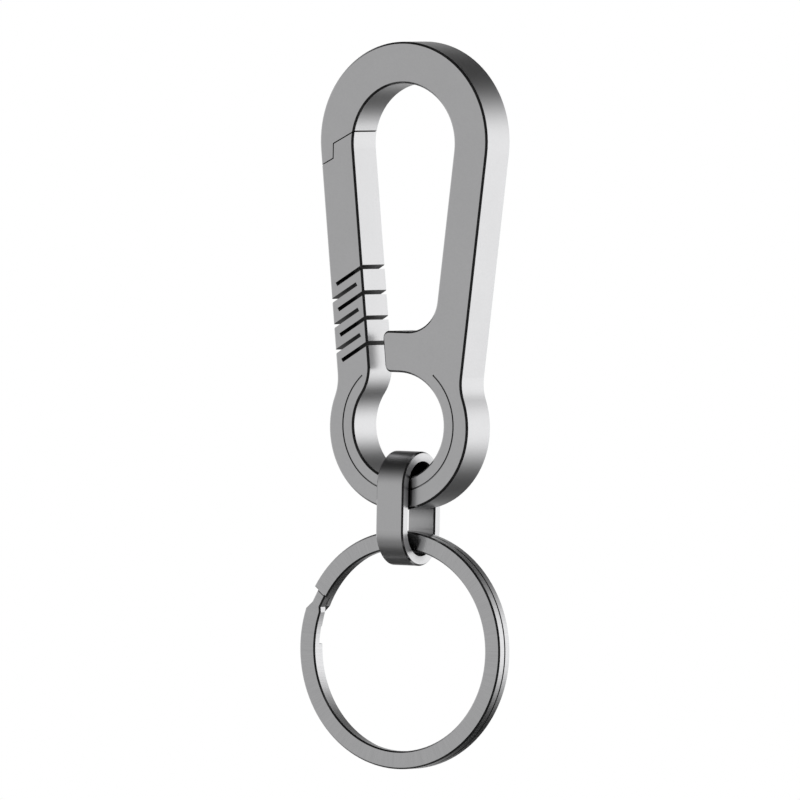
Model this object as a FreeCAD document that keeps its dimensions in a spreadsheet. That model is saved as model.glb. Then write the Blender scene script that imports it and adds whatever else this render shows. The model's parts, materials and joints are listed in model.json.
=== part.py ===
import FreeCAD, Part
import math
import os
import re
import Sketcher

os.makedirs("parts", exist_ok=True)

# Driving sizes in millimetres and degrees. The origin is the centre of the hook's seat, on the plate's
# mid-plane; +X points to the right leg, +Y to the back and +Z to the crown.
SIZES = {
    # Clip plate
    "plate_thickness": 5.5,
    "edge_chamfer": 0.25,
    "seat_radius": 7.5,
    "crown_width": 5.2,
    "leg_width": 4.9,
    "throat_half": 3.654,
    "eye_drop": 35.25,
    "eye_radius": 6.65,
    "eye_wall": 3.65,
    "eye_foot": 0.25,
    "waist_radius": 6.0,
    "shoulder_radius": 5.6,
    "bar_height": 5.15,
    "bar_gap": 2.3,
    "bar_corner": 0.9,
    "bar_fillet": 4.2,
    # Stepped seam between the nose and the gate's tip
    "seam_gap": 0.15,
    "seam_slope": 28.0,
    "nose_lip": 2.05,
    "step_drop": 2.13,
    "step_height": 1.85,
    # Slots of the gate's serpentine root
    "slot_foot": 9.467,
    "slot_pitch": 3.18,
    "slot_width": 0.5,
    "slot_slope": 25.2,
    "slot_web": 0.95,
    # Line engraved round the eye
    "line_radius": 8.2,
    "line_width": 0.2,
    "line_depth": 0.15,
    "line_first": 131.7,
    "line_last": 52.0,
    # Connecting link
    "link_width": 4.0,
    "link_band": 1.4,
    "link_straight": 5.5,
    "link_chamfer": 0.2,
    "link_clearance": 0.25,
    "link_rest": 0.08,
    # Split ring
    "ring_outer": 14.9,
    "ring_wire": 2.25,
    "ring_thickness": 2.5,
    "ring_chamfer": 0.2,
    "ring_rest": 0.1,
    "ring_shift": 0.27,
    "slit_gap": 0.08,
    "slit_bevel": 0.14,
    "rear_setback": 0.3,
    "bridge_place": 162.0,
    "bridge_span": 20.2,
    "front_lip": 0.35,
    "end_gap": 0.1,
    "end_skew": 10.0,
    "rear_gap": 1.55,
    "gap_run": 0.8,
    # Necks of the split ring, where each layer is narrowed beside the other layer's free end
    "front_neck": 1.27,
    "rear_neck": 2.6,
    "neck_outer": 0.65,
    "neck_inner": 0.22,
    "neck_rear": 0.35,
    "outer_ramp": 20.0,
    "inner_ramp": 32.0,
    # Length by which cutting shapes pass the faces that they cut
    "cut_overrun": 1.0,
}

# Slots that open to the inside and to the outside of the leg, and how closely a face has to face its axis.
INNER_SLOTS = 4
OUTER_SLOTS = 3
FACING_SHARE = 0.99

# Sizes that follow from the driving ones.
FORMULAS = {
    "throat_angle": "atan(throat_half / eye_drop)",
    "leg_taper": "(asin(seat_radius * cos(throat_angle) / eye_drop) - throat_angle) / 1 deg",
    "outer_reach": "seat_radius + leg_width",
    "crown_rise": "(crown_width - leg_width) / (1 + sin(leg_taper))",
    "crown_radius": "outer_reach + crown_rise * sin(leg_taper)",
    "eye_outer": "eye_radius + eye_wall",
    "foot_drop": "eye_drop + eye_foot",
    "bar_top": "eye_drop - eye_radius - bar_height",
    "step_place": "crown_radius - nose_lip",
    "step_end": "step_height - step_drop",
    "seam_half": "seam_gap / 2",
    "seam_lift": "seam_half / cos(seam_slope)",
    "seam_shift": "seam_half * tan(seam_slope)",
    "leg_middle": "seat_radius + leg_width / 2",
    "leg_past": "outer_reach + cut_overrun",
    "leg_inside": "seat_radius - cut_overrun",
    "slot_start": f"eye_drop * cos(leg_taper) - slot_foot - slot_pitch * {INNER_SLOTS - 1}",
    "slot_cos": "slot_width / 2 * cos(slot_slope)",
    "slot_sin": "slot_width / 2 * sin(slot_slope)",
    "link_bore": "plate_thickness / 2 + link_clearance",
    "link_outer": "link_bore + link_band",
    "eye_sag": "eye_radius - sqrt(eye_radius ^ 2 - (link_width / 2 - link_chamfer) ^ 2)",
    "link_seat": "sqrt((link_bore - link_rest) ^ 2 - (plate_thickness / 2) ^ 2)",
    "link_top": "eye_drop + eye_radius + edge_chamfer - eye_sag + link_seat",
    "link_low": "link_top + link_straight",
    "ring_inner": "ring_outer - ring_wire",
    "ring_half": "ring_thickness / 2",
    "wire_sag": "ring_inner - sqrt(ring_inner ^ 2 - (link_width / 2) ^ 2)",
    "wire_seat": "sqrt((link_bore - ring_rest) ^ 2 - (ring_half + ring_shift) ^ 2)",
    "ring_drop": "link_low + wire_seat - wire_sag + ring_inner",
    "ring_middle": "ring_outer - ring_wire / 2",
    "rear_inner": "ring_inner + rear_setback",
    "bridge_start": "bridge_place - bridge_span / 2",
    "bridge_end": "bridge_place + bridge_span / 2",
    "rear_place": "bridge_end - rear_neck / 2 / ring_middle * 180 / pi",
    "gap_reach": "ring_half + cut_overrun",
    "gap_slant": "gap_run * gap_reach / ring_half",
}

# Every alias has an underscore, which no function of the sheet has.
ALIAS = re.compile(r"[a-z]+_[a-z]+")

doc = FreeCAD.newDocument("belt_key_clip")
sheet = doc.addObject("Spreadsheet::Sheet", "Sizes")


def fill_sheet():
    """Writes the driving sizes and the formulas to the sheet, one aliased row each."""
    formulas = {alias: "=" + text for alias, text in FORMULAS.items()}
    for row, (alias, content) in enumerate({**SIZES, **formulas}.items(), 1):
        sheet.set(f"A{row}", alias)
        sheet.set(f"B{row}", str(content))
        sheet.setAlias(f"B{row}", alias)
    doc.recompute()


def value(formula):
    """The number that a formula of the sheet's aliases gives."""
    return float(sheet.evalExpression(formula))


def bind(target, path, formula, unit=""):
    """Binds a property of an object to a formula of the sheet's aliases."""
    target.setExpression(path, "(" + ALIAS.sub(r"Sizes.\g<0>", formula) + ")" + unit)


def new_body(name):
    """An empty body, with its name as label."""
    body = doc.addObject("PartDesign::Body", name)
    body.Label = name
    return body


def new_sketch(body, name, plane):
    """A sketch on one of the origin planes of its own body."""
    sketch = body.newObject("Sketcher::SketchObject", name)
    planes = {feature.Role: feature for feature in body.Origin.OriginFeatures}
    sketch.AttachmentSupport = [(planes[plane], "")]
    sketch.MapMode = "FlatFace"
    return sketch


def turn_sketch(sketch, axis, formula):
    """Turns a sketch in place about one of its own axes, by an angle from the sheet."""
    sketch.AttachmentOffset = FreeCAD.Placement(FreeCAD.Vector(), FreeCAD.Rotation(axis, value(formula)))
    bind(sketch, "AttachmentOffset.Rotation.Angle", formula, " * 1 deg")


def limit(sketch, name, kind, elements, formula, angle=False):
    """Adds a dimension to a sketch and binds it to a formula."""
    number = math.radians(value(formula)) if angle else value(formula)
    index = sketch.addConstraint(Sketcher.Constraint(kind, *elements, number))
    sketch.renameConstraint(index, name)
    bind(sketch, f"Constraints.{name}", formula, " * 1 deg" if angle else "")


def relate(sketch, kind, *elements):
    """Adds a constraint without a size to a sketch."""
    sketch.addConstraint(Sketcher.Constraint(kind, *elements))


def place_point(sketch, name, element, point, across, up):
    """Places a point of a sketch from the origin; a text of 0 puts it on the axis."""
    for kind, axis, formula in (("DistanceX", -2, across), ("DistanceY", -1, up)):
        if formula == "0":
            relate(sketch, "PointOnObject", element, point, axis)
        else:
            limit(sketch, f"{name}_{kind[-1].lower()}", kind, (-1, 1, element, point), formula)


def polygon(sketch, corners):
    """Draws a closed polygon whose corners are pairs of formulas."""
    points = [FreeCAD.Vector(value(across), value(up)) for across, up in corners]
    sides = [sketch.addGeometry(Part.LineSegment(first, last), False)
             for first, last in zip(points, points[1:] + points[:1])]
    for side, following in zip(sides, sides[1:] + sides[:1]):
        relate(sketch, "Coincident", side, 2, following, 1)
    for number, (side, corner) in enumerate(zip(sides, corners)):
        place_point(sketch, f"corner_{number}", side, 1, *corner)


class Loop:
    """A closed run of lines and arcs in a sketch, each tangent to the next."""

    def __init__(self, sketch):
        self.sketch = sketch
        self.runs = []

    def line(self, first, last):
        """Adds a straight run and gives its number in the sketch."""
        element = self.sketch.addGeometry(Part.LineSegment(first, last), False)
        self.runs.append((element, 1, 2))
        return element

    def arc(self, centre, radius, first, last, clockwise):
        """Adds a round run and gives its number in the sketch."""
        angles = [math.atan2(point.y - centre.y, point.x - centre.x) for point in (first, last)]
        circle = Part.Circle(centre, FreeCAD.Vector(0, 0, 1), radius)
        start, end = reversed(angles) if clockwise else angles
        element = self.sketch.addGeometry(Part.ArcOfCircle(circle, start, end), False)
        self.runs.append((element, 2, 1) if clockwise else (element, 1, 2))
        return element

    def close(self):
        """Joins each run to the next, tangent at their common point."""
        for (run, _, last), (following, first, _) in zip(self.runs, self.runs[1:] + self.runs[:1]):
            relate(self.sketch, "Tangent", run, last, following, first)


def foot(centre, normal, reach):
    """The point of the line at a reach along a normal that is nearest to a centre."""
    return centre + normal * (reach - centre.dot(normal))


def between(centre, other, radius):
    """The point at a radius from a centre, towards another point."""
    return centre + (other - centre).normalize() * radius


def blend_centre(normal, reach, round_centre, round_radius, radius):
    """Centre of an arc that touches a leg's line from beyond it and a circle below from outside."""
    along = FreeCAD.Vector(-normal.y, normal.x)
    if along.y < 0:
        along = along * -1
    across = reach + radius - round_centre.dot(normal)
    rise = math.sqrt((round_radius + radius) ** 2 - across ** 2)
    return normal * (reach + radius) + along * (round_centre.dot(along) + rise)


def leg_normals():
    """Outward normals of the left and the right leg."""
    taper = math.radians(value("leg_taper"))
    left = FreeCAD.Vector(-math.cos(taper), -math.sin(taper))
    return left, FreeCAD.Vector(-left.x, left.y)


def draw_outline(sketch):
    """Outer outline of the plate: crown, legs, waists and eye."""
    left, right = leg_normals()
    reach = value("outer_reach")
    waist = value("waist_radius")
    crown = FreeCAD.Vector(0, value("crown_rise"))
    eye = FreeCAD.Vector(0, -value("foot_drop"))
    eye_outer = value("eye_outer")
    left_waist, right_waist = (blend_centre(side, reach, eye, eye_outer, waist) for side in (left, right))

    loop = Loop(sketch)
    crown_arc = loop.arc(crown, value("crown_radius"), foot(crown, left, reach),
                         foot(crown, right, reach), True)
    right_leg = loop.line(foot(crown, right, reach), foot(right_waist, right, reach))
    right_arc = loop.arc(right_waist, waist, foot(right_waist, right, reach),
                         between(right_waist, eye, waist), False)
    eye_arc = loop.arc(eye, eye_outer, between(eye, right_waist, eye_outer),
                       between(eye, left_waist, eye_outer), True)
    left_arc = loop.arc(left_waist, waist, between(left_waist, eye, waist),
                        foot(left_waist, left, reach), False)
    left_leg = loop.line(foot(left_waist, left, reach), foot(crown, left, reach))
    loop.close()

    place_point(sketch, "crown", crown_arc, 3, "0", "crown_rise")
    place_point(sketch, "eye", eye_arc, 3, "0", "-foot_drop")
    limit(sketch, "crown_size", "Radius", (crown_arc,), "crown_radius")
    limit(sketch, "eye_size", "Radius", (eye_arc,), "eye_outer")
    limit(sketch, "right_waist", "Radius", (right_arc,), "waist_radius")
    limit(sketch, "left_waist", "Radius", (left_arc,), "waist_radius")
    limit(sketch, "right_lean", "Angle", (right_leg,), "-90 - leg_taper", angle=True)
    limit(sketch, "left_lean", "Angle", (left_leg,), "90 + leg_taper", angle=True)


def draw_opening(sketch):
    """Inner outline of the plate, one closed loop: seat, right leg, crossbar, eye, shoulder and gate."""
    left, right = leg_normals()
    up = FreeCAD.Vector(0, 1)
    seat_radius = value("seat_radius")
    eye_radius = value("eye_radius")
    fillet_radius = value("bar_fillet")
    corner_radius = value("bar_corner")
    shoulder_radius = value("shoulder_radius")
    bar_top = -value("bar_top")
    bar_low = bar_top - value("bar_height")
    bar_end = seat_radius - value("bar_gap")

    def beside(normal, reach, height):
        return FreeCAD.Vector((reach - height * normal.y) / normal.x, height)

    seat = FreeCAD.Vector()
    eye = FreeCAD.Vector(0, -value("eye_drop"))
    fillet = beside(right, seat_radius - fillet_radius, bar_top + fillet_radius)
    upper = beside(left, bar_end - corner_radius, bar_top - corner_radius)
    lower = beside(left, bar_end - corner_radius, bar_low + corner_radius)
    shoulder = blend_centre(left, seat_radius, eye, eye_radius, shoulder_radius)
    eye_top = foot(eye, up, bar_low)

    loop = Loop(sketch)
    seat_arc = loop.arc(seat, seat_radius, foot(seat, left, seat_radius),
                        foot(seat, right, seat_radius), True)
    right_line = loop.line(foot(seat, right, seat_radius), foot(fillet, right, seat_radius))
    fillet_arc = loop.arc(fillet, fillet_radius, foot(fillet, right, seat_radius),
                          foot(fillet, up, bar_top), True)
    top_line = loop.line(foot(fillet, up, bar_top), foot(upper, up, bar_top))
    upper_arc = loop.arc(upper, corner_radius, foot(upper, up, bar_top), foot(upper, left, bar_end), False)
    end_line = loop.line(foot(upper, left, bar_end), foot(lower, left, bar_end))
    lower_arc = loop.arc(lower, corner_radius, foot(lower, left, bar_end), foot(lower, up, bar_low), False)
    low_line = loop.line(foot(lower, up, bar_low), eye_top)
    eye_arc = loop.arc(eye, eye_radius, eye_top, between(eye, shoulder, eye_radius), True)
    shoulder_arc = loop.arc(shoulder, shoulder_radius, between(shoulder, eye, shoulder_radius),
                            foot(shoulder, left, seat_radius), False)
    left_line = loop.line(foot(shoulder, left, seat_radius), foot(seat, left, seat_radius))
    loop.close()

    relate(sketch, "Coincident", seat_arc, 3, -1, 1)
    place_point(sketch, "eye", eye_arc, 3, "0", "-eye_drop")
    limit(sketch, "seat_size", "Radius", (seat_arc,), "seat_radius")
    limit(sketch, "eye_size", "Radius", (eye_arc,), "eye_radius")
    limit(sketch, "fillet_size", "Radius", (fillet_arc,), "bar_fillet")
    limit(sketch, "upper_size", "Radius", (upper_arc,), "bar_corner")
    limit(sketch, "lower_size", "Radius", (lower_arc,), "bar_corner")
    limit(sketch, "shoulder_size", "Radius", (shoulder_arc,), "shoulder_radius")
    limit(sketch, "right_lean", "Angle", (right_line,), "-90 - leg_taper", angle=True)
    limit(sketch, "left_lean", "Angle", (left_line,), "90 + leg_taper", angle=True)
    relate(sketch, "Horizontal", top_line)
    relate(sketch, "Horizontal", low_line)
    relate(sketch, "Parallel", end_line, left_line)
    limit(sketch, "bar_height", "DistanceY", (-1, 1, top_line, 1), "-bar_top")
    limit(sketch, "bar_gap", "Distance", (end_line, 1, left_line), "bar_gap")


def pad_both_ways(body, name, sketch, formula):
    """Pads a sketch by half of a length to each side of its plane."""
    pad = body.newObject("PartDesign::Pad", name)
    pad.Profile = sketch
    pad.SideType = "Symmetric"
    bind(pad, "Length", formula)
    doc.recompute()
    return pad


def cut_through(body, name, sketch):
    """Cuts a sketch through the whole body, both ways."""
    pocket = body.newObject("PartDesign::Pocket", name)
    pocket.Profile = sketch
    pocket.SideType = "Symmetric"
    pocket.Type = "ThroughAll"
    doc.recompute()
    return pocket


def cut_one_way(body, name, sketch, ahead=True):
    """Cuts a sketch through all that lies ahead of its plane, or behind it."""
    pocket = body.newObject("PartDesign::Pocket", name)
    pocket.Profile = sketch
    pocket.Type = "ThroughAll"
    pocket.Reversed = ahead
    doc.recompute()


def break_edges(body, name, axis, formula):
    """Chamfers all edges of a body's first and last flat face along an axis."""
    base = body.Tip
    places = {f"Face{number}": face.CenterOfMass.dot(axis) for number, face in enumerate(base.Shape.Faces, 1)
              if isinstance(face.Surface, Part.Plane) and abs(face.Surface.Axis.dot(axis)) > FACING_SHARE}
    chamfer = body.newObject("PartDesign::Chamfer", name)
    chamfer.Base = (base, [min(places, key=places.get), max(places, key=places.get)])
    bind(chamfer, "Size", formula)
    doc.recompute()


def seam_line(sign):
    """One side of the stepped seam, from outside the nose inwards; a sign of 0 gives its middle."""
    lift = f"{sign} * seam_lift"
    step = f"-step_place - {sign} * seam_half"
    run_out = "(cut_overrun + crown_radius - step_place) * tan(seam_slope)"
    run_in = "(step_place - leg_inside) * tan(seam_slope)"
    return [("-crown_radius - cut_overrun", f"-step_drop - {run_out} + {lift}"),
            (step, f"-step_drop - {sign} * seam_shift + {lift}"),
            (step, f"step_end - {sign} * seam_shift + {lift}"),
            ("-leg_inside", f"step_end + {run_in} + {lift}")]


def slot_height(across, drop):
    """Height on the left leg of a slot's middle line at a place across the leg."""
    return f"-slot_start - ({drop}) + ({across} + leg_middle) * tan(slot_slope)"


def slot_corners(closed, mouth, drop):
    """Corners of a slot in the left leg's frame, square to its own line."""
    ends = [(across, slot_height(across, drop)) for across in (closed, mouth)]
    lower, upper = ([(f"{across} - {sign} * slot_sin", f"{up} + {sign} * slot_cos") for across, up in ends]
                    for sign in (-1, 1))
    return lower + upper[::-1]


def from_leg(across, up):
    """Turns a corner given in the left leg's frame into the plate's frame."""
    return (f"({across}) * cos(leg_taper) - ({up}) * sin(leg_taper)",
            f"({across}) * sin(leg_taper) + ({up}) * cos(leg_taper)")


def cut_slots(body, name, corners, count):
    """Cuts a slot through the left leg and repeats it down the leg."""
    sketch = new_sketch(body, f"{name}_sketch", "XZ_Plane")
    turn_sketch(sketch, FreeCAD.Vector(0, 0, 1), "leg_taper")
    polygon(sketch, corners)
    pocket = cut_through(body, f"{name}_first", sketch)
    pattern = body.newObject("PartDesign::LinearPattern", name)
    pattern.Originals = [pocket]
    pattern.Direction = (sketch, ["V_Axis"])
    pattern.Reversed = True
    pattern.Occurrences = count
    bind(pattern, "Length", f"slot_pitch * {count - 1}")
    body.Tip = pattern
    doc.recompute()


def engrave_line(body):
    """Engraves the line round the eye's front face, as a shallow groove with radial ends."""
    sketch = new_sketch(body, "line_sketch", "XZ_Plane")
    sketch.AttachmentOffset = FreeCAD.Placement(FreeCAD.Vector(0, 0, value("plate_thickness / 2")),
                                                FreeCAD.Rotation())
    bind(sketch, "AttachmentOffset.Base.z", "plate_thickness / 2")
    eye = FreeCAD.Vector(0, -value("eye_drop"))
    first, last = (math.radians(value(angle)) for angle in ("line_first - 360", "line_last"))
    radii = ("line_radius + line_width / 2", "line_radius - line_width / 2")
    arcs = [sketch.addGeometry(Part.ArcOfCircle(Part.Circle(eye, FreeCAD.Vector(0, 0, 1), value(radius)),
                                                first, last), False) for radius in radii]
    ends = []
    for angle in (first, last):
        ray = FreeCAD.Vector(math.cos(angle), math.sin(angle))
        inner, outer = (eye + ray * value(radius) for radius in reversed(radii))
        ends.append(sketch.addGeometry(Part.LineSegment(inner, outer), False))
    for point, (end, angle) in enumerate(zip(ends, ("line_first", "line_last")), 1):
        relate(sketch, "Coincident", end, 1, arcs[1], point)
        relate(sketch, "Coincident", end, 2, arcs[0], point)
        limit(sketch, f"end_{point}", "Angle", (end,), angle, angle=True)
        relate(sketch, "PointOnObject", arcs[0], 3, end)
    relate(sketch, "Coincident", arcs[0], 3, arcs[1], 3)
    place_point(sketch, "eye", arcs[0], 3, "0", "-eye_drop")
    for number, (arc, radius) in enumerate(zip(arcs, radii)):
        limit(sketch, f"radius_{number}", "Radius", (arc,), radius)
    groove = body.newObject("PartDesign::Pocket", "eye_line")
    groove.Profile = sketch
    bind(groove, "Length", "line_depth")
    doc.recompute()


def build_blank():
    """The whole clip plate as cut from one sheet: outline, opening, broken edges, slots, seam and line."""
    body = new_body("clip_blank")
    outline = new_sketch(body, "outline_sketch", "XZ_Plane")
    draw_outline(outline)
    pad_both_ways(body, "plate", outline, "plate_thickness")
    opening = new_sketch(body, "opening_sketch", "XZ_Plane")
    draw_opening(opening)
    cut_through(body, "opening", opening)
    break_edges(body, "plate_edges", FreeCAD.Vector(0, 1, 0), "edge_chamfer")
    cut_slots(body, "inner_slots", slot_corners("-outer_reach + slot_web", "-leg_inside", "0"), INNER_SLOTS)
    cut_slots(body, "outer_slots", slot_corners("-seat_radius - slot_web", "-leg_past", "slot_pitch / 2"),
              OUTER_SLOTS)
    seam = new_sketch(body, "seam_sketch", "XZ_Plane")
    polygon(seam, seam_line(1) + seam_line(-1)[::-1])
    cut_through(body, "seam", seam)
    engrave_line(body)
    return body


def build_region(name, corners):
    """A prism through the plate that takes one stretch of the gate's leg."""
    body = new_body(name)
    sketch = new_sketch(body, f"{name}_sketch", "XZ_Plane")
    polygon(sketch, corners)
    pad_both_ways(body, f"{name}_prism", sketch, "plate_thickness + cut_overrun")
    return body


def combine(kind, name, base, tool):
    """A boolean of two objects, with its name as label."""
    result = doc.addObject(kind, name)
    result.Label = name
    result.Base = base
    result.Tool = tool
    doc.recompute()
    return result


def build_clip():
    """Parts the plate into the rigid frame, the bending root of the gate and the gate's stiff arm."""
    blank = build_blank()
    root_drop = f"slot_pitch * {INNER_SLOTS - 1}"
    top, low = ([from_leg(across, slot_height(across, drop)) for across in ("-leg_past", "-leg_inside")]
                for drop in ("0", root_drop))
    arm_region = build_region("arm_region", seam_line(0) + top[::-1])
    root_region = build_region("root_region", top + low[::-1])
    gate_leg = combine("Part::Fuse", "gate_leg", arm_region, root_region)
    return [combine("Part::Cut", "clip_frame", blank, gate_leg),
            combine("Part::Common", "gate_spring", blank, root_region),
            combine("Part::Common", "gate_arm", blank, arm_region)]


def draw_oval(sketch, name, formula):
    """Draws an upright oval of a given end radius, with the link's straight length between its ends."""
    radius = value(formula)
    upper = FreeCAD.Vector()
    lower = FreeCAD.Vector(0, -value("link_straight"))
    side = FreeCAD.Vector(radius, 0)
    loop = Loop(sketch)
    top_arc = loop.arc(upper, radius, upper - side, upper + side, True)
    loop.line(upper + side, lower + side)
    low_arc = loop.arc(lower, radius, lower + side, lower - side, True)
    loop.line(lower - side, upper - side)
    loop.close()
    relate(sketch, "Coincident", top_arc, 3, -1, 1)
    place_point(sketch, f"{name}_low", low_arc, 3, "0", "-link_straight")
    limit(sketch, f"{name}_size", "Radius", (top_arc,), formula)
    relate(sketch, "Equal", top_arc, low_arc)


def build_link():
    """The flat-band oval link, hanging in the eye."""
    body = new_body("connecting_link")
    bind(body, "Placement.Base.z", "-link_top")
    band = new_sketch(body, "band_sketch", "YZ_Plane")
    draw_oval(band, "outer", "link_outer")
    draw_oval(band, "inner", "link_bore")
    pad_both_ways(body, "band", band, "link_width")
    break_edges(body, "band_edges", FreeCAD.Vector(1, 0, 0), "link_chamfer")
    return body


def ring_section():
    """Section of the split ring: a step to the rear layer's wider bore, and a groove outside at the slit."""
    return [("ring_inner", "-ring_half"), ("ring_inner", "-slit_bevel"),
            ("rear_inner", "rear_setback - slit_bevel"), ("rear_inner", "ring_half"),
            ("ring_outer", "ring_half"), ("ring_outer", "slit_bevel"), ("ring_outer - slit_bevel", "0"),
            ("ring_outer", "-slit_bevel"), ("ring_outer", "-ring_half")]


def band_span():
    """Radii just inside and just outside the ring's band, between which cuts run."""
    return "ring_inner - cut_overrun", "ring_outer + cut_overrun"


def end_line(across, side):
    """Place along the ring of the front layer's end at a radius; a side of 0 gives the middle of its gap."""
    return f"-front_lip + (ring_middle - ({across})) * tan(end_skew) + {side} * end_gap / 2"


def ring_sketch(body, name, angle):
    """A sketch on the slit's plane, with its axes along the radius at an angle and along the ring there."""
    sketch = new_sketch(body, name, "XZ_Plane")
    turn_sketch(sketch, FreeCAD.Vector(0, 0, 1), angle)
    return sketch


def cut_neck(body, layer, wall, side, depth):
    """Narrows a layer from one wall beside the other layer's free end, with a ramp at the far end."""
    floor = f"{wall} - {side} * {depth}"
    past = f"{wall} + {side} * cut_overrun"
    ramp = "outer_ramp" if side > 0 else "inner_ramp"
    ramp_run = f"({depth} + cut_overrun) / tan({ramp})"
    if layer == "front":
        angle, last = "bridge_start", "front_neck"
        ramp_end = f"{last} + {ramp_run}"
        first, first_past = (end_line(across, 0) for across in (floor, past))
    else:
        angle, last = "rear_place", "-rear_neck / 2"
        ramp_end = f"{last} - {ramp_run}"
        first = first_past = "(rear_neck + rear_gap) / 2"
    sketch = ring_sketch(body, f"{layer}_{wall}_neck_sketch", angle)
    polygon(sketch, [(floor, first), (floor, last), (past, ramp_end), (past, first_past)])
    cut_one_way(body, f"{layer}_{wall}_neck", sketch, ahead=layer == "front")


def cut_slit(body):
    """Parts the two layers with a thin slit all round, except at their bridge."""
    sketch = new_sketch(body, "slit_sketch", "XY_Plane")
    turn_sketch(sketch, FreeCAD.Vector(0, 1, 0), "180 - bridge_place")
    inner, outer = band_span()
    polygon(sketch, [(inner, "-slit_gap / 2"), (outer, "-slit_gap / 2"),
                     (outer, "slit_gap / 2"), (inner, "slit_gap / 2")])
    slit = body.newObject("PartDesign::Groove", "slit")
    slit.Profile = sketch
    slit.ReferenceAxis = (sketch, ["V_Axis"])
    slit.Midplane = True
    bind(slit, "Angle", "360 - bridge_span", " * 1 deg")
    doc.recompute()


def cut_front_end(body):
    """Cuts the front layer's free end from the neck, along a line that leans from the radius."""
    sketch = ring_sketch(body, "front_end_sketch", "bridge_start")
    inner, outer = band_span()
    polygon(sketch, [(inner, end_line(inner, -1)), (outer, end_line(outer, -1)),
                     (outer, end_line(outer, 1)), (inner, end_line(inner, 1))])
    cut_one_way(body, "front_end", sketch)


def cut_rear_gap(body):
    """Cuts the rear layer away past the bridge, from its free end to the slope that joins the layers."""
    sketch = new_sketch(body, "rear_gap_sketch", "YZ_Plane")
    turn_sketch(sketch, FreeCAD.Vector(1, 0, 0), "-bridge_end")
    polygon(sketch, [("0", "rear_gap"), ("0", "0"), ("gap_reach", "-gap_slant"), ("gap_reach", "rear_gap")])
    cut_one_way(body, "rear_gap", sketch)


def build_ring():
    """The split ring, hanging in the link's lower bend: two layers, their slit and their bridge."""
    body = new_body("split_ring")
    bind(body, "Placement.Base.y", "-ring_shift")
    bind(body, "Placement.Base.z", "-ring_drop")
    section = new_sketch(body, "section_sketch", "XY_Plane")
    polygon(section, ring_section())
    layers = body.newObject("PartDesign::Revolution", "layers")
    layers.Profile = section
    layers.ReferenceAxis = (section, ["V_Axis"])
    layers.Angle = 360
    doc.recompute()
    cut_neck(body, "front", "ring_outer", 1, "neck_outer")
    cut_neck(body, "front", "ring_inner", -1, "neck_inner")
    cut_neck(body, "rear", "ring_outer", 1, "neck_outer")
    cut_neck(body, "rear", "rear_inner", -1, "neck_rear")
    break_edges(body, "ring_edges", FreeCAD.Vector(0, 1, 0), "ring_chamfer")
    cut_slit(body)
    cut_front_end(body)
    cut_rear_gap(body)
    return body


def check(nodes):
    """Stops where an object failed, a sketch is loose, a cut took nothing or a node isn't one sound solid."""
    for item in doc.Objects:
        if {"Invalid", "Error"} & set(item.State):
            raise RuntimeError(f"{item.Name} failed: {item.State}")
        if item.isDerivedFrom("Sketcher::SketchObject") and not item.FullyConstrained:
            raise RuntimeError(f"{item.Name} isn't fully constrained")
        if item.isDerivedFrom("PartDesign::Pocket") or item.isDerivedFrom("PartDesign::Groove"):
            if item.Shape.Volume >= item.BaseFeature.Shape.Volume:
                raise RuntimeError(f"{item.Name} cuts nothing")
    for node in nodes:
        if node.Shape.isNull() or not node.Shape.isValid() or len(node.Shape.Solids) != 1:
            raise RuntimeError(f"{node.Label} isn't one sound solid")


fill_sheet()
nodes = build_clip() + [build_link(), build_ring()]
check(nodes)
for node in nodes:
    node.Shape.exportStep(f"parts/{node.Label}.step")
    print(node.Label, round(node.Shape.Volume, 1), node.Shape.BoundBox)
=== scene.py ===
"""Looks of a titanium belt key clip: its finishes, its bending gate spring, a plain studio and the camera."""

import json
import logging
import math
from dataclasses import dataclass, field, replace
from enum import Enum

import bpy
from mathutils import Matrix, Vector


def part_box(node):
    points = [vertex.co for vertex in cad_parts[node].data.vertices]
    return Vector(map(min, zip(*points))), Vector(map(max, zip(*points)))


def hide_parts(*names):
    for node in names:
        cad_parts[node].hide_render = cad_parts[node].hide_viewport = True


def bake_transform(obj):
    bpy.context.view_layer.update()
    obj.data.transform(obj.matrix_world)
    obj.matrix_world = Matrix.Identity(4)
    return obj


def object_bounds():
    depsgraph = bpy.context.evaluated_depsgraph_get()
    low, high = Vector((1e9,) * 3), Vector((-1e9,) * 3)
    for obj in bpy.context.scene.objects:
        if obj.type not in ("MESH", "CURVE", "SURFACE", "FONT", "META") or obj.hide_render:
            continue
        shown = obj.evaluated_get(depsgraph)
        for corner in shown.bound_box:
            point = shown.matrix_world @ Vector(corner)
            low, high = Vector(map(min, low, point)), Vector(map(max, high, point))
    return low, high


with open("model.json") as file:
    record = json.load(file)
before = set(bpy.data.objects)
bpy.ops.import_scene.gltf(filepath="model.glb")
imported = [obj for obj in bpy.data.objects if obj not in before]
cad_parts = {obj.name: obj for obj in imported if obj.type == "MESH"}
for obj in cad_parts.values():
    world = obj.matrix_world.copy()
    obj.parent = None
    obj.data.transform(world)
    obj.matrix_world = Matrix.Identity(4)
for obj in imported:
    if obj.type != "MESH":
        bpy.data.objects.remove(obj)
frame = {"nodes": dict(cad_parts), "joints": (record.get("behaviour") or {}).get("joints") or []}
CAD_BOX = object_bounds()

LOG = logging.getLogger("key_clip")
MM = 0.001
WHITE = (1.0, 1.0, 1.0, 1.0)

# A vector times one of these loses its Y or its Z.
WITHOUT_Y = (1.0, 0.0, 1.0)
WITHOUT_Z = (1.0, 1.0, 0.0)

# The colour sockets of a Mix node share their names with its other sockets, so they go by number.
COLOUR_A = 6
COLOUR_B = 7
MIXED_COLOUR = 2


class Body(Enum):
    """Bodies that the gate's spring joins."""

    FRAME = "frame"
    GATE = "gate"


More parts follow.
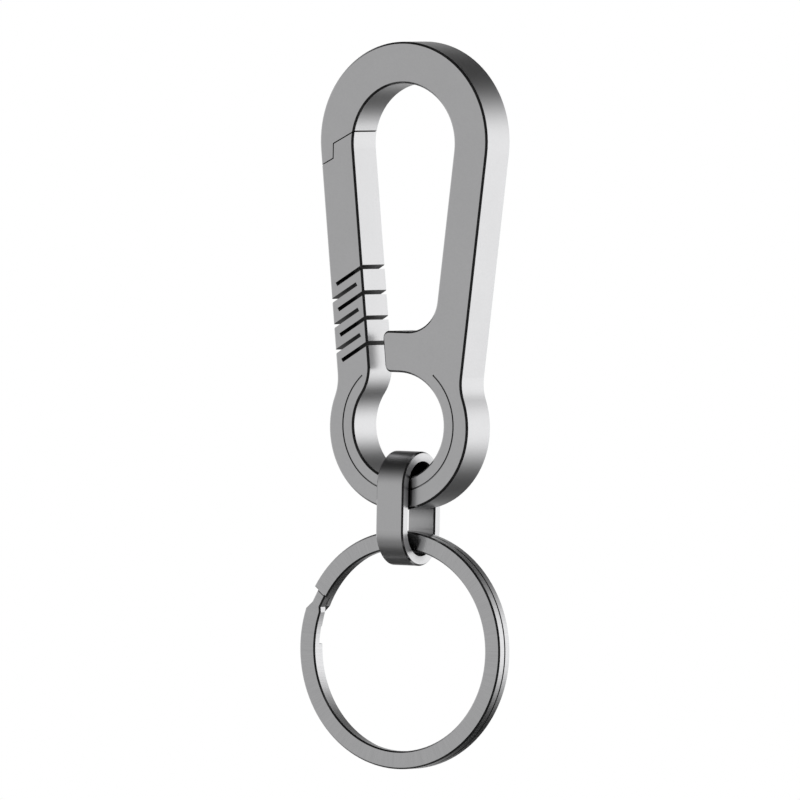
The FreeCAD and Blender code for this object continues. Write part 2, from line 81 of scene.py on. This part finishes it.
class Axis(Enum):
    """Axes that a flat face can lie across, by their place in a vector."""

    X = 0
    Y = 1


def linear(code: str) -> tuple[float, float, float, float]:
    """Turn an sRGB hex colour into linear light, by the curve of the sRGB standard.

    Args:
        code: colour such as "#CFD0D2".

    Returns:
        Red, green, blue and alpha, each from 0 to 1.
    """
    shares = [int(code[i:i + 2], 16) / 255 for i in (1, 3, 5)]
    light = [s / 12.92 if s <= 0.04045 else ((s + 0.055) / 1.055) ** 2.4 for s in shares]
    return (*light, 1.0)


def add_node(tree: bpy.types.NodeTree, kind: str, inputs: dict | None = None, **settings) -> bpy.types.Node:
    """Add one shader node with its settings and links.

    Args:
        tree: node tree that gets the node.
        kind: type of the node, such as ShaderNodeTexNoise.
        inputs: a value, or an output socket to link, for each input by name or number.
        settings: properties of the node itself.

    Returns:
        The new node.
    """
    node = tree.nodes.new(kind)
    for name, value in settings.items():
        setattr(node, name, value)
    for name, value in (inputs or {}).items():
        if isinstance(value, bpy.types.NodeSocket):
            tree.links.new(value, node.inputs[name])
        else:
            node.inputs[name].default_value = value
    return node


def heading(azimuth: float, elevation: float) -> Vector:
    """Give the direction at an azimuth and an elevation.

    Args:
        azimuth: degrees round Z, 0 towards -Y, the front, and 90 towards +X.
        elevation: degrees above the horizon.

    Returns:
        A unit vector that points there from the object.
    """
    turn, rise = math.radians(azimuth), math.radians(elevation)
    return Vector((math.sin(turn) * math.cos(rise), -math.cos(turn) * math.cos(rise), math.sin(rise)))


@dataclass(frozen=True)
class Titanium:
    """A bare titanium finish: subclasses give the pattern that their making leaves.

    Painted shade darkens the colour to near black in slots, seams, tight corners and where parts meet, as far
    as ambient occlusion finds walls close by. The edges are broken last, with a smooth tool, so they are
    glossier than the faces and draw a crisp line.

    Attributes:
        name: material name.
        light: colour of the high spots.
        deep: colour of the low spots.
        smooth: roughness of the high spots.
        rough: roughness of the low spots.
        relief: height of the pattern in millimetres.
        painted_shade: near-black colour of the painted shade in slots, corners and between parts.
        painted_shade_reach: width of a gap that gets painted shade, in millimetres.
        painted_shade_span: openness up to which the painted shade is full, and from which it is gone.
        painted_shade_rays: rays that feel for the walls of a gap, for the painted shade.
        flat_axis: axis that the flat faces lie across.
        edge_lean: share of that axis in the normal of a broken edge, and how far it may be off.
        edge_gloss: roughness of the broken edges.
    """

    name: str
    light: str
    deep: str
    smooth: float
    rough: float
    relief: float
    painted_shade: str = "#141415"
    painted_shade_reach: float = 1.6
    painted_shade_span: tuple[float, float] = (0.3, 0.85)
    painted_shade_rays: int = 8
    flat_axis: Axis = Axis.Y
    edge_lean: tuple[float, float] = (0.65, 0.25)
    edge_gloss: float = 0.1

    def pattern(self, tree: bpy.types.NodeTree) -> bpy.types.NodeSocket:
        """Draw the pattern of this finish, as a value from 0 to 1."""
        raise NotImplementedError

    def material(self) -> bpy.types.Material:
        """Make the material.

        Returns:
            A metal whose colour, roughness and bump follow the pattern, with painted shade where it is shut
            in, and glossier on its broken edges.
        """
        made = bpy.data.materials.new(self.name)
        made.use_nodes = True
        tree = made.node_tree
        shader = tree.nodes["Principled BSDF"]
        shader.inputs["Metallic"].default_value = 1.0
        height = self.pattern(tree)
        tint = add_node(tree, "ShaderNodeMix",
                        {"Factor": height, COLOUR_A: linear(self.deep), COLOUR_B: linear(self.light)},
                        data_type="RGBA").outputs[MIXED_COLOUR]
        # Painted shade: ambient occlusion darkens the colour in slots, seams, corners and where parts meet.
        shut = add_node(tree, "ShaderNodeAmbientOcclusion", {"Distance": self.painted_shade_reach * MM},
                        samples=self.painted_shade_rays)
        whole, gone = self.painted_shade_span
        bare = add_node(tree, "ShaderNodeMapRange",
                        {"Value": shut.outputs["AO"], "From Min": whole, "From Max": gone})
        colour = add_node(tree, "ShaderNodeMix",
                          {"Factor": bare.outputs[0], COLOUR_A: linear(self.painted_shade), COLOUR_B: tint},
                          data_type="RGBA").outputs[MIXED_COLOUR]
        normal = add_node(tree, "ShaderNodeTexCoord").outputs["Normal"]
        facing = add_node(tree, "ShaderNodeSeparateXYZ", {0: normal}).outputs[self.flat_axis.value]
        lean = add_node(tree, "ShaderNodeMath", {0: facing}, operation="ABSOLUTE")
        usual, off = self.edge_lean
        edge = add_node(tree, "ShaderNodeMath", {0: lean.outputs[0], 1: usual, 2: off}, operation="COMPARE")
        sheen = add_node(tree, "ShaderNodeMapRange",
                         {"Value": height, "To Min": self.rough, "To Max": self.smooth})
        gloss = add_node(tree, "ShaderNodeMix",
                         {"Factor": edge.outputs[0], "A": sheen.outputs[0], "B": self.edge_gloss})
        bump = add_node(tree, "ShaderNodeBump", {"Height": height, "Distance": self.relief * MM})
        tree.links.new(colour, shader.inputs["Base Color"])
        tree.links.new(gloss.outputs[0], shader.inputs["Roughness"])
        tree.links.new(bump.outputs[0], shader.inputs["Normal"])
        return made


@dataclass(frozen=True)
class BlastedTitanium(Titanium):
    """Wire-cut titanium plate, blasted with fine glass beads.

    The beads leave shallow pits, so the metal has an even satin sheen with soft reflections. The real pits,
    under 0.1 mm wide, are too fine to show, so they are drawn two to three times as wide.

    Attributes:
        pit: width of a pit in millimetres.
        pit_detail: finer layers of pits on top of the first.
        cloud: width of the faint cloudiness left by the nozzle's passes, in millimetres.
        cloud_detail: finer layers of cloudiness on top of the first.
        cloud_share: how much of the pattern is cloudiness.
    """

    pit: float = 0.22
    pit_detail: float = 1.0
    cloud: float = 5.0
    cloud_detail: float = 2.0
    cloud_share: float = 0.35

    def pattern(self, tree: bpy.types.NodeTree) -> bpy.types.NodeSocket:
        """Mix fine pits with slow cloudiness.

        Args:
            tree: node tree of the material.

        Returns:
            Height of the surface, from 0 to 1.
        """
        place = add_node(tree, "ShaderNodeTexCoord").outputs["Object"]
        pits = add_node(tree, "ShaderNodeTexNoise",
                        {"Vector": place, "Scale": 1 / (self.pit * MM), "Detail": self.pit_detail})
        clouds = add_node(tree, "ShaderNodeTexNoise",
                          {"Vector": place, "Scale": 1 / (self.cloud * MM), "Detail": self.cloud_detail})
        mixed = add_node(tree, "ShaderNodeMix",
                         {"Factor": self.cloud_share, "A": pits.outputs[0], "B": clouds.outputs[0]})
        return mixed.outputs[0]


@dataclass(frozen=True)
class BrushedTitanium(Titanium):
    """Flat titanium ring, ground across its band with a fine belt.

    The belt leaves hair lines from the inner edge to the outer one, which catch the light in thin strokes.
    The real lines, a few hundredths of a millimetre wide, are too fine to show, so they are drawn about five
    times as wide.

    Attributes:
        centre: middle of the ring, in metres.
        radius: middle of the ring's band, in millimetres.
        line: width of a line in millimetres.
        line_detail: finer layers of lines on top of the first.
        stroke: length of a line in millimetres.
    """

    # The ring's painted shade reaches farther, in its slit and round the link, but is full only where most
    # shut in.
    painted_shade_reach: float = 2.4
    painted_shade_span: tuple[float, float] = (0.25, 0.6)
    centre: Vector = field(default_factory=Vector)
    radius: float = 13.8
    line: float = 0.17
    line_detail: float = 2.0
    stroke: float = 3.0

    def pattern(self, tree: bpy.types.NodeTree) -> bpy.types.NodeSocket:
        """Draw fine lines along the ring's radii, in coordinates that count lines and strokes.

        Args:
            tree: node tree of the material.

        Returns:
            Height of the surface, from 0 to 1.
        """
        place = add_node(tree, "ShaderNodeTexCoord").outputs["Object"]
        centred = add_node(tree, "ShaderNodeMapping", {"Vector": place, "Location": -self.centre})
        flat = add_node(tree, "ShaderNodeVectorMath", {0: centred.outputs[0], 1: WITHOUT_Y},
                        operation="MULTIPLY")
        reach = add_node(tree, "ShaderNodeVectorMath", {0: flat.outputs[0]}, operation="LENGTH")
        toward = add_node(tree, "ShaderNodeVectorMath", {0: flat.outputs[0]}, operation="NORMALIZE")
        round_ring = add_node(tree, "ShaderNodeVectorMath",
                              {0: toward.outputs[0], "Scale": self.radius / self.line}, operation="SCALE")
        across = add_node(tree, "ShaderNodeMath", {0: reach.outputs["Value"], 1: 1 / (self.stroke * MM)},
                          operation="MULTIPLY")
        along_band = add_node(tree, "ShaderNodeCombineXYZ", {"Y": across.outputs[0]})
        spread = add_node(tree, "ShaderNodeVectorMath", {0: round_ring.outputs[0], 1: along_band.outputs[0]},
                          operation="ADD")
        lines = add_node(tree, "ShaderNodeTexNoise",
                         {"Vector": spread.outputs[0], "Scale": 1.0, "Detail": self.line_detail})
        return lines.outputs[0]


def dress(node: str, finish: bpy.types.Material) -> None:
    """Give a CAD node its finish.

    Args:
        node: name of the node.
        finish: material for all its faces.
    """
    for slot in frame["nodes"][node].material_slots:
        slot.material = finish
    LOG.info("dressed %s in %s", node, finish.name)


@dataclass
class ClipPlate:
    """The hook plate: stiff frame, gate arm and the serpentine spring that joins them.

    Attributes:
        finish: material of the whole plate.
        stiff_nodes: nodes that keep their shape.
        spring_node: node that bends with the gate.
        spring_slot: name of a finish slot in the record; not used.
        gate_joint: joint whose axis is the middle of the spring.
        slot_rise: slope of the spring's slots, in degrees above +X.
        spring_reach: half the length of the spring, square to the slots, in millimetres.
        slice_step: spacing of the cuts that let the bars turn, in millimetres.
        weld: distance within which corners are one, in millimetres.
        flat_angle: turn under which faces are one flat, in degrees.
    """

    finish: bpy.types.Material
    stiff_nodes: tuple[str, ...] = ("clip_frame", "gate_arm")
    spring_node: str = "gate_spring"
    spring_slot: str = "blasted_titanium"
    gate_joint: str = "gate_flex"
    slot_rise: float = 31.5
    spring_reach: float = 4.316
    slice_step: float = 0.3
    weld: float = 0.001
    flat_angle: float = 1.0

    def axis(self) -> Vector:
        """Give the middle of the spring, where the gate's joint lies."""
        joint = next(j for j in frame["joints"] if j["name"] == self.gate_joint)
        return Vector(joint["pos_m"])

    def rise(self) -> Vector:
        """Give the direction from the spring's root to its tip, square to the slots."""
        slope = math.radians(self.slot_rise)
        return Vector((-math.sin(slope), 0.0, math.cos(slope)))

    def build_spring(self) -> bpy.types.Object:
        """Slice a copy of the spring into thin layers, so that each bar turns a little as the gate opens.

        Returns:
            The spring piece, sliced into layers and in the plate's finish.
        """
        bpy.ops.object.select_all(action="DESELECT")
        piece = bpy.data.objects.new("gate_flexure", frame["nodes"][self.spring_node].data.copy())
        bpy.context.scene.collection.objects.link(piece)
        bpy.context.view_layer.objects.active = piece
        piece.select_set(True)
        bpy.ops.mesh.customdata_custom_splitnormals_clear()
        bpy.ops.object.mode_set(mode="EDIT")
        bpy.ops.mesh.select_all(action="SELECT")
        bpy.ops.mesh.remove_doubles(threshold=self.weld * MM)
        bpy.ops.mesh.dissolve_limited(angle_limit=math.radians(self.flat_angle))
        layers = math.floor(2 * self.spring_reach / self.slice_step)
        for layer in range(1, layers):
            height = (2 * layer / layers - 1) * self.spring_reach * MM
            bpy.ops.mesh.select_all(action="SELECT")
            bpy.ops.mesh.bisect(plane_co=self.axis() + height * self.rise(), plane_no=self.rise())
        bpy.ops.object.mode_set(mode="OBJECT")
        bpy.ops.object.shade_flat()
        piece.data.materials.clear()
        piece.data.materials.append(self.finish)
        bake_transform(piece)
        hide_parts(self.spring_node)
        return piece

    def build(self) -> None:
        """Dress the stiff nodes and make the spring."""
        for node in self.stiff_nodes:
            dress(node, self.finish)
        spring = self.build_spring()
        LOG.info("built %s with %d faces", spring.name, len(spring.data.polygons))


@dataclass
class KeyEnd:
    """What hangs in the eye: the flat-band link and the split ring.

    Attributes:
        link_finish: material of the link.
        ring_finish: material of the ring.
        link_node: node of the link.
        ring_node: node of the ring.
    """

    link_finish: bpy.types.Material
    ring_finish: bpy.types.Material
    link_node: str = "connecting_link"
    ring_node: str = "split_ring"

    def build(self) -> None:
        """Dress the link and the ring."""
        dress(self.link_node, self.link_finish)
        dress(self.ring_node, self.ring_finish)


@dataclass(frozen=True)
class Panel:
    """A soft-edged light panel in the wall of the tent.

    Attributes:
        azimuth: degrees round Z to its middle, 0 in front and 90 at the right.
        elevation: degrees above the horizon to its middle.
        half_width: degrees from its middle to where its sides start to fade, and to where they are dark.
        half_height: the same above and below.
        level: brightness of its middle, where 1 is white.
    """

    azimuth: float
    elevation: float
    half_width: tuple[float, float]
    half_height: tuple[float, float]
    level: float


@dataclass
class Studio:
    """Plain white studio: white surroundings, pale floor, soft top light, and a tent that only metal sees.

    Attributes:
        middle: point that the tent surrounds, in metres.
        tent_radius: distance of the tent's wall, in metres.
        tent_segments: faces round the tent.
        tent_rings: faces from the tent's bottom to its top.
        tent_level: brightness of the wall between the panels.
        panels: light panels in the wall, the brightest behind and in front.
        floor_height: height of the floor, in metres.
        floor_radius: radius of the floor, in metres.
        floor_sides: corners of its round edge.
        floor_colour: colour of the floor.
        floor_roughness: roughness of the floor.
        floor_glow: white that the floor shows by itself, so that it blends into the surroundings.
        fill: level at which the surroundings light the floor.
        sun_strength: light from above, which gives the floor its shadow.
        sun_angle: apparent width of that light, in degrees.
    """

    middle: Vector
    tent_radius: float = 0.75
    tent_segments: int = 64
    tent_rings: int = 32
    tent_level: float = 0.02
    panels: tuple[Panel, ...] = (
        # Behind, in front, at the right and at the back left.
        Panel(azimuth=160, elevation=0.5, half_width=(5, 78), half_height=(6, 36), level=1.74),
        Panel(azimuth=-42, elevation=-1, half_width=(87, 94), half_height=(2, 53), level=0.735),
        Panel(azimuth=94, elevation=-9, half_width=(25, 34), half_height=(12, 30), level=0.85),
        Panel(azimuth=-150, elevation=-8, half_width=(6, 26), half_height=(8, 26), level=0.1),
        # High and low behind, low in front and low at the left.
        Panel(azimuth=185, elevation=90, half_width=(45, 60), half_height=(24, 42), level=0.6),
        Panel(azimuth=180, elevation=-90, half_width=(40, 52), half_height=(24, 50), level=0.6),
        Panel(azimuth=-8, elevation=-51, half_width=(28, 42), half_height=(8, 16), level=0.45),
        Panel(azimuth=-85, elevation=-58, half_width=(20, 45), half_height=(8, 30), level=0.06),
        # Overhead and underneath.
        Panel(azimuth=-30, elevation=90, half_width=(105, 130), half_height=(4, 14), level=0.6),
        Panel(azimuth=-30, elevation=-90, half_width=(105, 130), half_height=(4, 13), level=0.3),
    )
    floor_height: float = -0.85
    floor_radius: float = 4.0
    floor_sides: int = 96
    floor_colour: str = "#F2F2F2"
    floor_roughness: float = 0.9
    floor_glow: float = 0.5
    fill: float = 0.5
    sun_strength: float = 1.2
    sun_angle: float = 20.0

    def shown(self, tree: bpy.types.NodeTree) -> bpy.types.NodeSocket:
        """Tell whether the camera, metal or glass looks.

        Args:
            tree: node tree that asks.

        Returns:
            1 for a camera, glossy or transmission ray, and 0 for others.
        """
        path = add_node(tree, "ShaderNodeLightPath").outputs
        mirrored = add_node(tree, "ShaderNodeMath", {0: path["Is Camera Ray"], 1: path["Is Glossy Ray"]},
                            operation="MAXIMUM")
        seen = add_node(tree, "ShaderNodeMath", {0: mirrored.outputs[0], 1: path["Is Transmission Ray"]},
                        operation="MAXIMUM")
        return seen.outputs[0]

    def build_surroundings(self) -> None:
        """Make the world white to the camera and to metal, and a softer fill for the floor."""
        world = bpy.data.worlds.new("white_surroundings")
        world.use_nodes = True
        # Rays find the white by themselves, so no light samples are spent on it.
        world.cycles.sampling_method = "NONE"
        tree = world.node_tree
        level = add_node(tree, "ShaderNodeMapRange",
                         {"Value": self.shown(tree), "To Min": self.fill, "To Max": 1.0})
        white = tree.nodes["Background"]
        white.inputs["Color"].default_value = WHITE
        tree.links.new(level.outputs[0], white.inputs["Strength"])
        bpy.context.scene.world = world

    def build_floor(self) -> None:
        """Lay the pale floor, which keeps the object's shadow."""
        bpy.ops.object.select_all(action="DESELECT")
        bpy.ops.mesh.primitive_circle_add(vertices=self.floor_sides, radius=self.floor_radius,
                                          fill_type="NGON", location=(0.0, 0.0, self.floor_height))
        floor = bpy.context.object
        floor.name = "studio_floor"
        made = bpy.data.materials.new("matt_white_board")
        made.use_nodes = True
        tree = made.node_tree
        shader = tree.nodes["Principled BSDF"]
        shader.inputs["Base Color"].default_value = linear(self.floor_colour)
        shader.inputs["Roughness"].default_value = self.floor_roughness
        shader.inputs["Emission Color"].default_value = WHITE
        own_light = add_node(tree, "ShaderNodeMath", {0: self.shown(tree), 1: self.floor_glow},
                             operation="MULTIPLY")
        tree.links.new(own_light.outputs[0], shader.inputs["Emission Strength"])
        floor.data.materials.append(made)

    def glow(self, tree: bpy.types.NodeTree) -> bpy.types.NodeSocket:
        """Work out how bright the tent's wall is in each direction.

        Args:
            tree: node tree of the wall's material.

        Returns:
            Brightness, where 1 is white.
        """
        place = add_node(tree, "ShaderNodeTexCoord").outputs["Object"]
        toward = add_node(tree, "ShaderNodeVectorMath", {0: place}, operation="NORMALIZE").outputs[0]
        level = add_node(tree, "ShaderNodeVectorMath", {0: toward, 1: WITHOUT_Z}, operation="MULTIPLY")
        bearing = add_node(tree, "ShaderNodeVectorMath", {0: level.outputs[0]}, operation="NORMALIZE")
        height = add_node(tree, "ShaderNodeSeparateXYZ", {0: toward}).outputs["Z"]
        rise = add_node(tree, "ShaderNodeMath", {0: height}, operation="ARCSINE").outputs[0]
        total = self.tent_level
        for panel in self.panels:
            middle = heading(panel.azimuth, 0.0)
            beside = add_node(tree, "ShaderNodeVectorMath", {0: bearing.outputs[0], 1: middle},
                              operation="DOT_PRODUCT")
            aside = add_node(tree, "ShaderNodeMath", {0: beside.outputs["Value"]}, operation="ARCCOSINE")
            above = add_node(tree, "ShaderNodeMath", {0: rise, 1: math.radians(panel.elevation)},
                             operation="SUBTRACT")
            apart = add_node(tree, "ShaderNodeMath", {0: above.outputs[0]}, operation="ABSOLUTE")
            share = panel.level
            for distance, (full, dark) in ((aside, panel.half_width), (apart, panel.half_height)):
                edge = add_node(tree, "ShaderNodeMapRange",
                                {"Value": distance.outputs[0], "From Min": math.radians(full),
                                 "From Max": math.radians(dark), "To Min": 1.0, "To Max": 0.0},
                                interpolation_type="SMOOTHSTEP")
                share = add_node(tree, "ShaderNodeMath", {0: edge.outputs[0], 1: share},
                                 operation="MULTIPLY").outputs[0]
            total = add_node(tree, "ShaderNodeMath", {0: total, 1: share}, operation="ADD").outputs[0]
        return total

    def build_tent(self) -> None:
        """Set a tent round the object that only metal sees, for its soft lights and dark edges."""
        bpy.ops.object.select_all(action="DESELECT")
        bpy.ops.mesh.primitive_uv_sphere_add(segments=self.tent_segments, ring_count=self.tent_rings,
                                             radius=self.tent_radius, location=self.middle)
        bpy.ops.object.shade_smooth()
        tent = bpy.context.object
        tent.name = "light_tent"
        made = bpy.data.materials.new("dark_cloth_with_light_panels")
        made.use_nodes = True
        # Only reflected rays find the tent, so it isn't sampled as a lamp.
        made.cycles.emission_sampling = "NONE"
        tree = made.node_tree
        tree.nodes.remove(tree.nodes["Principled BSDF"])
        light = add_node(tree, "ShaderNodeEmission", {"Color": WHITE, "Strength": self.glow(tree)})
        tree.links.new(light.outputs[0], tree.nodes["Material Output"].inputs["Surface"])
        tent.data.materials.append(made)
        tent.visible_camera = False
        tent.visible_diffuse = False
        tent.visible_transmission = False
        tent.visible_shadow = False

    def build_top_light(self) -> None:
        """Hang a soft light above for the floor's shadow."""
        sun = bpy.data.lights.new("soft_top_light", "SUN")
        sun.energy = self.sun_strength
        sun.angle = math.radians(self.sun_angle)
        top = bpy.data.objects.new("soft_top_light", sun)
        top.visible_glossy = False
        bpy.context.scene.collection.objects.link(top)

    def build(self) -> None:
        """Set up the surroundings, the floor, the tent and the top light."""
        self.build_surroundings()
        self.build_floor()
        self.build_tent()
        self.build_top_light()
        bpy.context.scene.view_settings.view_transform = "Standard"
        LOG.info("built the studio")


@dataclass
class PhotoCamera:
    """Long-lens camera at the photograph's angle.

    Attributes:
        azimuth: degrees to the right of the front.
        elevation: degrees above the horizon.
        roll: turn of the camera about its own axis, in degrees.
        aim: point in the middle of the image, in millimetres.
        distance: distance from that point, in millimetres.
        field_width: width of the image there, in millimetres.
        sensor: width of the sensor, in millimetres.
    """

    azimuth: float = 32.949
    elevation: float = 1.761
    roll: float = 1.049
    aim: tuple[float, float, float] = (-1.537, 0.0, -32.146)
    distance: float = 3003.0
    field_width: float = 100.0
    sensor: float = 36.0

    def build(self) -> None:
        """Place the camera and make it the scene's own."""
        lens = bpy.data.cameras.new("photo_camera")
        lens.sensor_width = self.sensor
        lens.lens = self.sensor * self.distance / self.field_width
        camera = bpy.data.objects.new("photo_camera", lens)
        back = heading(self.azimuth, self.elevation)
        turned = back.to_track_quat("Z", "Y").to_matrix() @ Matrix.Rotation(math.radians(self.roll), 3, "Z")
        camera.rotation_euler = turned.to_euler()
        camera.location = (Vector(self.aim) + self.distance * back) * MM
        bpy.context.scene.collection.objects.link(camera)
        bpy.context.scene.camera = camera
        LOG.info("placed the camera")


def main() -> None:
    """Build the finishes, the clip, the studio and the camera, in that order."""
    logging.basicConfig(level=logging.INFO, format="%(name)s: %(message)s")
    low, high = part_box("split_ring")
    plate = BlastedTitanium(name="bead_blasted_titanium", light="#BDBDBE", deep="#B4B4B5",
                            smooth=0.26, rough=0.32, relief=0.004)
    # The link's painted shade reaches farther, where it meets the plate and the ring.
    band = replace(plate, name="bead_blasted_titanium_band", flat_axis=Axis.X, painted_shade_reach=2.6)
    brushed = BrushedTitanium(name="cross_brushed_titanium", light="#BABABB", deep="#ADADAE",
                              smooth=0.17, rough=0.27, relief=0.006, centre=(low + high) / 2)
    ClipPlate(plate.material()).build()
    KeyEnd(band.material(), brushed.material()).build()
    Studio((CAD_BOX[0] + CAD_BOX[1]) / 2).build()
    PhotoCamera().build()


if __name__ == "__main__":
    main()
